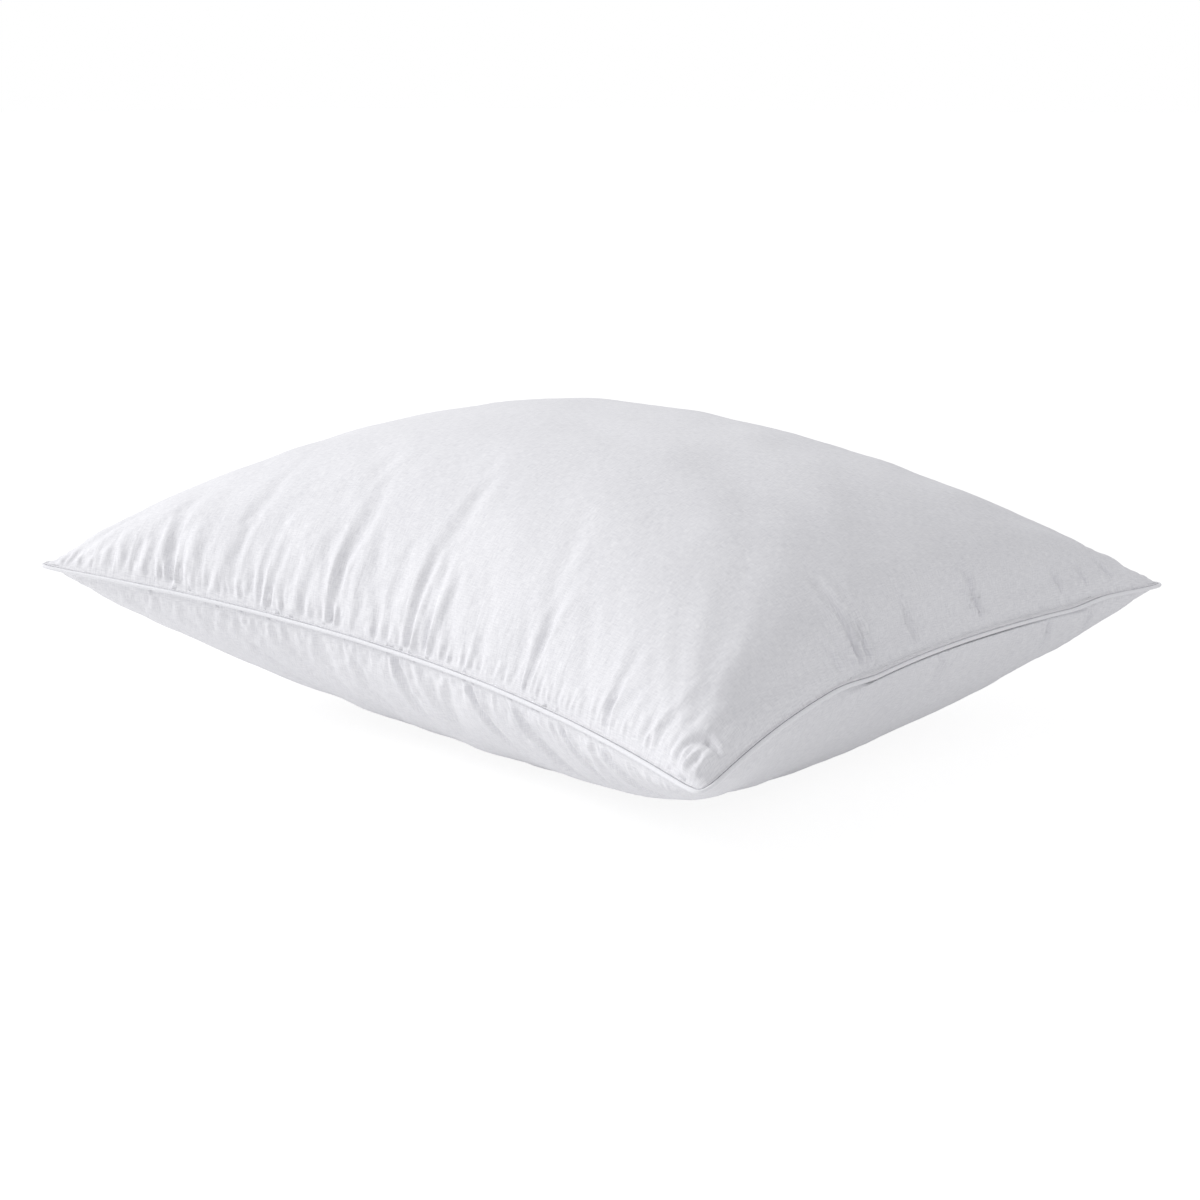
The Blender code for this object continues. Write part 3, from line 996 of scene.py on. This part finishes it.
def rumple_group():
    """Soft rumples and tiny creases of washed cloth, as a height and a patchy shade."""
    group, given, result = new_group(
        "washed_rumples",
        (("Vector", "Vector", None), ("Size", "Float", 90.0)),
        ("Height", "Shade"),
    )
    vector, size = given.outputs["Vector"], given.outputs["Size"]
    creases = {"Vector": vector, "Scale": size, "Detail": 3.0, "Roughness": 0.55, "Distortion": 0.6}
    height = folded(group, add_node(group, "TexNoise", creases))
    patches = add_node(group, "TexNoise", {"Vector": vector, "Scale": 14.0, "Detail": 2.0})
    set_inputs(group, result, {"Height": height, "Shade": patches.outputs["Fac"]})
    return group


def coordinates(tree, on_cloth):
    """Return the cloth's own map, or the object's coordinates."""
    if on_cloth:
        node = tree.nodes.new("ShaderNodeUVMap")
        node.uv_map = "cloth"
        return node.outputs["UV"]
    return tree.nodes.new("ShaderNodeTexCoord").outputs["Object"]


def turned(tree, vector, angle):
    """Turn a pattern by an angle about Z."""
    return add_node(tree, "Mapping", {"Rotation": (0, 0, angle), "Vector": vector}).outputs[0]


def creased(tree, vector, below, depth):
    """Add sharp small creases square to the long seams, strongest where the cloth is gathered."""
    stretch = add_node(tree, "Mapping", {"Scale": (150.0, 17.0, 1.0), "Vector": vector})
    noise = add_node(tree, "TexNoise", {"Vector": stretch.outputs[0], "Scale": 1.0, "Detail": 1.5})
    mask = tree.nodes.new("ShaderNodeAttribute")
    mask.attribute_name = "gathered"
    height = math_node(tree, "MULTIPLY", folded(tree, noise), mask.outputs["Fac"])
    return raised(tree, height, depth, below=below)


def new_finish(name, settings):
    """Start a material, and return it, its tree and its shader with the settings made."""
    made = bpy.data.materials.new(name)
    made.use_nodes = True
    tree = made.node_tree
    return made, tree, set_inputs(tree, tree.nodes["Principled BSDF"], settings)


def cloth_finish(name, light, dark, weave, rumples, angle=0.0, gathers_depth=0.0):
    """Make a woven cotton finish: weave and slubs that follow the cloth, rumples, and a patchy shade."""
    matt = {"Roughness": 0.9, "Specular IOR Level": 0.15, "Sheen Weight": 0.12, "Sheen Roughness": 0.6}
    made, tree, shader = new_finish(name, matt)
    vector = coordinates(tree, True)
    woven = {"Pitch": WEAVE_PITCH, "Slub": SLUB_STRENGTH, "Vector": turned(tree, vector, angle)}
    threads = add_group(tree, weave, woven)
    washed = add_group(tree, rumples, {"Vector": coordinates(tree, False)})
    thread_shade = math_node(tree, "MULTIPLY", threads.outputs["Shade"], 0.6)
    patch_shade = math_node(tree, "MULTIPLY", washed.outputs["Shade"], 0.4)
    colour = colour_mix(tree, math_node(tree, "ADD", thread_shade, patch_shade), dark, light)
    normal = raised(tree, washed.outputs["Height"], RUMPLE_DEPTH, 0.8)
    if gathers_depth:
        normal = creased(tree, vector, normal, gathers_depth)
    normal = raised(tree, threads.outputs["Height"], WEAVE_DEPTH, 0.7, normal)
    set_inputs(tree, shader, {"Base Color": colour, "Normal": normal})
    return made


def strand_finish(name, light, dark, pitch, angle, roughness):
    """Make a finish of twisted strands that run slantwise round a cord or thread, with painted shade in the
    grooves between them.
    """
    made, tree, shader = new_finish(name, {"Roughness": roughness, "Sheen Weight": 0.1})
    split = add_node(tree, "SeparateXYZ", {0: turned(tree, coordinates(tree, True), angle)})
    strands = math_node(tree, "SINE", math_node(tree, "MULTIPLY", split.outputs["X"], 2 * math.pi / pitch))
    # The colour follows the strands' height: the grooves between strands are painted darker, as painted
    # shade.
    shade = math_node(tree, "ADD", math_node(tree, "MULTIPLY", strands, 0.5), 0.5)
    colour = colour_mix(tree, shade, dark, light)
    set_inputs(tree, shader, {"Base Color": colour, "Normal": raised(tree, shade, 0.0001, 0.6)})
    return made


def feather_finish(name):
    """Make the finish of packed small feathers: overlapping vanes with fine barbs."""
    made, tree, shader = new_finish(name, {"Roughness": 0.95, "Sheen Weight": 0.3})
    vector = coordinates(tree, False)
    vanes = add_node(tree, "TexVoronoi", {"Vector": vector, "Scale": 45.0}).outputs["Distance"]
    barbs = add_node(tree, "TexWave", {"Vector": vector, "Scale": 160.0, "Distortion": 9.0, "Detail": 2.0})
    colour = colour_mix(tree, vanes, (0.86, 0.85, 0.82), (0.70, 0.67, 0.61))
    height = math_node(tree, "ADD", math_node(tree, "MULTIPLY", barbs.outputs["Fac"], 0.2), vanes)
    set_inputs(tree, shader, {"Base Color": colour, "Normal": raised(tree, height, 0.002, 0.8)})
    return made


# ---- floor, light and camera

CAMERA_AZIMUTH = math.radians(40.85)
CAMERA_HEIGHT_ANGLE = math.radians(14.06)
CAMERA_DISTANCE = 1.35
CAMERA_LENS = 60.66
CAMERA_SENSOR = 36.0
CAMERA_AIM = Vector((0, 0, 0.08))
CAMERA_LEFT = 0.0032315
CAMERA_DOWN = 0.0047137
WHITE = (1.0, 1.0, 1.0, 1.0)

# The floor's brightness and glow, as the camera sees it and as it lights the pillow
FLOOR_SEEN = (0.20, 0.88)
FLOOR_LIGHTING = (0.90, 0.09)


def seen_apart(tree, lighting, seen, output):
    """Let the camera see one shader, while another lights the scene."""
    ray = tree.nodes.new("ShaderNodeLightPath").outputs["Is Camera Ray"]
    mix = add_node(tree, "MixShader", {"Fac": ray, 1: lighting.outputs[0], 2: seen.outputs[0]})
    set_inputs(tree, tree.nodes[output], {"Surface": mix.outputs[0]})


def make_floor():
    """Make a wide pale floor under the pillow."""
    bm = bmesh.new()
    bmesh.ops.create_grid(bm, x_segments=8, y_segments=8, size=40.0)
    matt = {"Roughness": 0.9, "Specular IOR Level": 0.1, "Emission Color": WHITE}
    made, tree, lighting = new_finish("studio_floor", matt)
    seen = add_node(tree, "BsdfPrincipled", matt)
    for shader, (base, glow) in ((lighting, FLOOR_LIGHTING), (seen, FLOOR_SEEN)):
        set_inputs(tree, shader, {"Base Color": (base, base, base, 1.0), "Emission Strength": glow})
    seen_apart(tree, lighting, seen, "Material Output")
    floor = add_object("studio_floor", mesh_from("studio_floor", bm), made)


def add_light(name, place, size, power):
    """Add a round soft light that is aimed at the pillow."""
    light = bpy.data.lights.new(name, "AREA")
    light.shape = "DISK"
    light.size = size
    light.energy = power
    lamp = bpy.data.objects.new(name, light)
    bpy.context.scene.collection.objects.link(lamp)
    lamp.location = place
    lamp.rotation_mode = "QUATERNION"
    lamp.rotation_quaternion = (CAMERA_AIM - Vector(place)).to_track_quat("-Z", "Y")


def make_camera():
    """Place the camera, aimed a little left of the pillow's middle and below it."""
    a, e = CAMERA_AZIMUTH, CAMERA_HEIGHT_ANGLE
    back = Vector((math.sin(a) * math.cos(e), -math.cos(a) * math.cos(e), math.sin(e)))
    right = Vector((math.cos(a), math.sin(a), 0))
    up = back.cross(right)
    camera = bpy.data.objects.new("camera", bpy.data.cameras.new("camera"))
    camera.data.lens = CAMERA_LENS
    camera.data.sensor_width = CAMERA_SENSOR
    camera.location = back * CAMERA_DISTANCE + CAMERA_AIM - right * CAMERA_LEFT - up * CAMERA_DOWN
    camera.rotation_mode = "QUATERNION"
    camera.rotation_quaternion = (-back).to_track_quat("-Z", "Y")
    bpy.context.scene.collection.objects.link(camera)
    bpy.context.scene.camera = camera


def make_studio():
    """Set up the floor, the soft light, the pale surroundings and the camera."""
    make_floor()
    add_light("key_light", (-2.0, -1.4, 1.8), 1.5, 43.5)
    world = bpy.data.worlds.new("studio")
    world.use_nodes = True
    tree = world.node_tree
    soft_sky = {"Color": (0.985, 0.985, 1.0, 1.0), "Strength": 0.665}
    lighting = set_inputs(tree, tree.nodes["Background"], soft_sky)
    seen_apart(tree, lighting, add_node(tree, "Background", {"Color": WHITE}), "World Output")
    bpy.context.scene.world = world
    bpy.context.scene.view_settings.view_transform = "Standard"
    make_camera()


def make_pillow():
    """Build every shown piece, hang it on the root body, and hide the imported part that it stands for."""
    weave, rumples = weave_group(), rumple_group()
    white, grey = (0.905, 0.903, 0.925), (0.735, 0.735, 0.765)
    casing = cloth_finish("casing_percale", white, grey, weave, rumples, gathers_depth=0.0012)
    white, grey = (0.90, 0.90, 0.92), (0.84, 0.84, 0.87)
    strip = cloth_finish("piping_percale", white, grey, weave, rumples, math.radians(45))
    cream, tan = (0.86, 0.84, 0.80), (0.68, 0.66, 0.61)
    cord = strand_finish("cotton_cord", cream, tan, 0.003, math.radians(35), 0.9)
    white, grey = (0.92, 0.92, 0.93), (0.80, 0.80, 0.82)
    thread = strand_finish("spun_thread", white, grey, 0.0006, math.radians(40), 0.6)
    feathers = feather_finish("packed_feathers")
    surfaces = fill_casing()
    top = make_panel("top_panel_cloth", 1, surfaces[1], casing)
    bottom = make_panel("bottom_panel_cloth", -1, surfaces[-1], casing)
    cover = make_piping_cover(strip)
    strands = make_piping_cord(cord)
    threads = make_threads(thread)
    filling = make_fill(surfaces, feathers)
    pieces = [
        (top, "top_panel", "casing_cotton"),
        (bottom, "bottom_panel", "casing_cotton"),
        (cover, "piping_cover", "piping_cotton"),
        (strands, "piping_cord", "cord_cotton"),
        (filling, "feather_fill", "feathers"),
    ]
    nodes = ("seam_needle_thread", "seam_bobbin_thread", "closing_needle_thread", "closing_bobbin_thread")
    pieces += [(piece, node, "sewing_thread") for piece, node in zip(threads, nodes)]
    for piece, node, slot in pieces:
        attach(piece, "root")
        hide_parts(node)


make_studio()
make_pillow()
bpy.context.view_layer.update()
